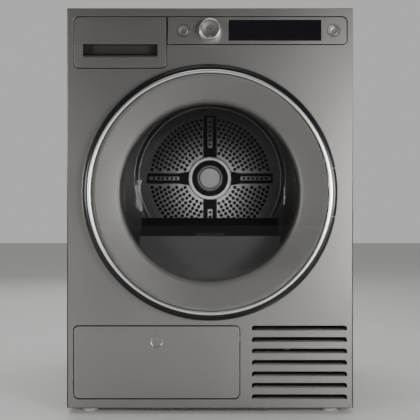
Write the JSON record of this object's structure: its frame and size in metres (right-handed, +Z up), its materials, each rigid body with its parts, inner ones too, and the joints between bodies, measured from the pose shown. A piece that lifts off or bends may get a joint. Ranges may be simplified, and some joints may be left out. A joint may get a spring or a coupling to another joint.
{
  "type": "tumble dryer",
  "caption": "Front-loading heat-pump tumble dryer with a round glass door, water drawer, selector knob, service flap and side-by-side louvers.",
  "frame": {"origin": "centre of the whole box on the floor under the feet", "axes": "+Z up, -Y out of the front, +X to the right seen from the front"},
  "size_m": [0.6, 0.66, 0.85],
  "materials": {
    "graphite_steel": "metallic satin",
    "graphite_plastic": "metallic satin",
    "galvanised_steel": "zinc coated",
    "drum_steel": "satin stainless",
    "chrome_trim": "polished",
    "black_gloss": "gloss",
    "handle_plastic": "satin",
    "frame_plastic": "satin",
    "window_glass": "clear, lightly tinted",
    "dark_plastic": "moulded",
    "black_plastic": "moulded",
    "pale_plastic": "moulded",
    "tank_plastic": "translucent",
    "lever_plastic": "moulded",
    "soft_rubber": "matt",
    "felt": "felt",
    "fin_aluminium": "mill finish",
    "pump_paint": "semi gloss",
    "circuit_board": "lacquered"
  },
  "bodies": {
    "root": {"base_tray": "dark_plastic", "side_panel_left": "graphite_steel", "side_panel_right": "graphite_steel", "top_cover": "graphite_steel", "rear_panel": "galvanised_steel", "rear_duct_cover": "galvanised_steel", "front_panel": "graphite_steel", "front_bulkhead": "galvanised_steel", "rear_bulkhead": "galvanised_steel", "door_seal": "soft_rubber", "drum_felt": "felt", "drum_belt": "soft_rubber", "shaft_bearing": "black_plastic", "control_panel": "graphite_plastic", "display_window": "black_gloss", "control_board": "circuit_board", "tank_cradle": "dark_plastic", "evaporator": "fin_aluminium", "condenser": "fin_aluminium", "compressor": "pump_paint", "motor_body": "galvanised_steel", "fan_housing": "dark_plastic", "hinge_bracket": "galvanised_steel", "door_lock": "black_plastic", "exchanger_cover": "dark_plastic", "filter_housing": "dark_plastic", "cabinet_screws": "galvanised_steel", "mains_gland": "black_plastic"},
    "door": {"door_frame": "frame_plastic", "door_bezel": "black_gloss", "door_handle": "handle_plastic", "door_trim_ring": "chrome_trim", "door_glass": "window_glass", "door_bowl": "window_glass", "door_hinge_arm": "galvanised_steel", "door_strike": "galvanised_steel"},
    "drawer": {"drawer_front": "graphite_plastic", "water_tank": "tank_plastic"},
    "selector": {"knob_ring": "chrome_trim"},
    "selector_cap": {"knob_cap": "graphite_plastic"},
    "power_key": {"power_button": "graphite_plastic"},
    "start_key": {"start_button": "graphite_plastic"},
    "flap": {"service_flap": "graphite_plastic"},
    "lever_left": {"cover_lever_left": "lever_plastic"},
    "lever_right": {"cover_lever_right": "lever_plastic"},
    "filter": {"filter_cassette": "pale_plastic"},
    "drum": {"drum_shell": "drum_steel", "drum_back": "drum_steel", "drum_lifters": "pale_plastic", "drum_hub": "drum_steel"},
    "rotor": {"motor_shaft": "galvanised_steel", "fan_impeller": "black_plastic"},
    "tensioner": {"idler_arm": "galvanised_steel"},
    "tension_wheel": {"idler_pulley": "dark_plastic"},
    "wheel_left": {"roller_left": "soft_rubber"},
    "wheel_right": {"roller_right": "soft_rubber"},
    "leg_front_left": {"foot_front_left": "pale_plastic"},
    "leg_front_right": {"foot_front_right": "pale_plastic"},
    "leg_rear_left": {"foot_rear_left": "pale_plastic"},
    "leg_rear_right": {"foot_rear_right": "pale_plastic"}
  },
  "joints": [
    {"name": "door_hinge", "type": "hinge", "parent": "root", "child": "door", "pos_m": [-0.252, -0.312, 0.4628], "axis": [0, 0, -1], "range_deg": [0, 110]},
    {"name": "drawer_slide", "type": "slide", "parent": "root", "child": "drawer", "axis": [0, -1, 0], "range_m": [0, 0.38]},
    {"name": "selector_turn", "type": "hinge", "parent": "root", "child": "selector", "pos_m": [0, -0.305, 0.802], "axis": [0, 1, 0], "continuous": true},
    {"name": "selector_press", "type": "slide", "parent": "root", "child": "selector_cap", "axis": [0, 1, 0], "range_m": [0, 0.0015], "stiffness_N_per_m": 700, "springref_m": -0.001},
    {"name": "power_press", "type": "slide", "parent": "root", "child": "power_key", "axis": [0, 1, 0], "range_m": [0, 0.0015], "stiffness_N_per_m": 700, "springref_m": -0.001},
    {"name": "start_press", "type": "slide", "parent": "root", "child": "start_key", "axis": [0, 1, 0], "range_m": [0, 0.0015], "stiffness_N_per_m": 700, "springref_m": -0.001},
    {"name": "flap_hinge", "type": "hinge", "parent": "root", "child": "flap", "pos_m": [-0.1118, -0.289, 0.0441], "axis": [1, 0, 0], "range_deg": [0, 90]},
    {"name": "lever_left_turn", "type": "hinge", "parent": "root", "child": "lever_left", "pos_m": [-0.212, -0.273, 0.096], "axis": [0, 1, 0], "range_deg": [0, 90]},
    {"name": "lever_right_turn", "type": "hinge", "parent": "root", "child": "lever_right", "pos_m": [0.02, -0.273, 0.096], "axis": [0, -1, 0], "range_deg": [0, 90]},
    {"name": "filter_lift", "type": "slide", "parent": "root", "child": "filter", "axis": [0, 0, 1], "range_m": [0, 0.12]},
    {"name": "drum_spin", "type": "hinge", "parent": "root", "child": "drum", "pos_m": [0, 0.005, 0.512], "axis": [0, 1, 0], "continuous": true},
    {"name": "rotor_spin", "type": "hinge", "parent": "root", "child": "rotor", "pos_m": [0.175, 0.005, 0.112], "axis": [0, 1, 0], "continuous": true},
    {"name": "tensioner_swing", "type": "hinge", "parent": "root", "child": "tensioner", "pos_m": [0.13876, 0.168, 0.08718], "axis": [0, -1, 0], "range_deg": [0, 12], "stiffness_Nm_per_rad": 5, "springref_deg": -5.73},
    {"name": "tension_wheel_spin", "type": "hinge", "parent": "tensioner", "child": "tension_wheel", "pos_m": [0.08604, 0.152, 0.11582], "axis": [0, 1, 0], "continuous": true},
    {"name": "wheel_left_spin", "type": "hinge", "parent": "root", "child": "wheel_left", "pos_m": [-0.19597, -0.182, 0.26118], "axis": [0, 1, 0], "continuous": true},
    {"name": "wheel_right_spin", "type": "hinge", "parent": "root", "child": "wheel_right", "pos_m": [0.19597, -0.182, 0.26118], "axis": [0, 1, 0], "continuous": true},
    {"name": "leg_front_left_screw", "type": "slide", "parent": "root", "child": "leg_front_left", "axis": [0, 0, -1], "range_m": [0, 0.01]},
    {"name": "leg_front_right_screw", "type": "slide", "parent": "root", "child": "leg_front_right", "axis": [0, 0, -1], "range_m": [0, 0.01]},
    {"name": "leg_rear_left_screw", "type": "slide", "parent": "root", "child": "leg_rear_left", "axis": [0, 0, -1], "range_m": [0, 0.01]},
    {"name": "leg_rear_right_screw", "type": "slide", "parent": "root", "child": "leg_rear_right", "axis": [0, 0, -1], "range_m": [0, 0.01]}
  ],
  "couplings": [
    {"joint": "rotor_spin", "follows": "drum_spin", "ratio": 18.867},
    {"joint": "tension_wheel_spin", "follows": "drum_spin", "ratio": -14.15},
    {"joint": "wheel_left_spin", "follows": "drum_spin", "ratio": -8.0857},
    {"joint": "wheel_right_spin", "follows": "drum_spin", "ratio": -8.0857}
  ]
}
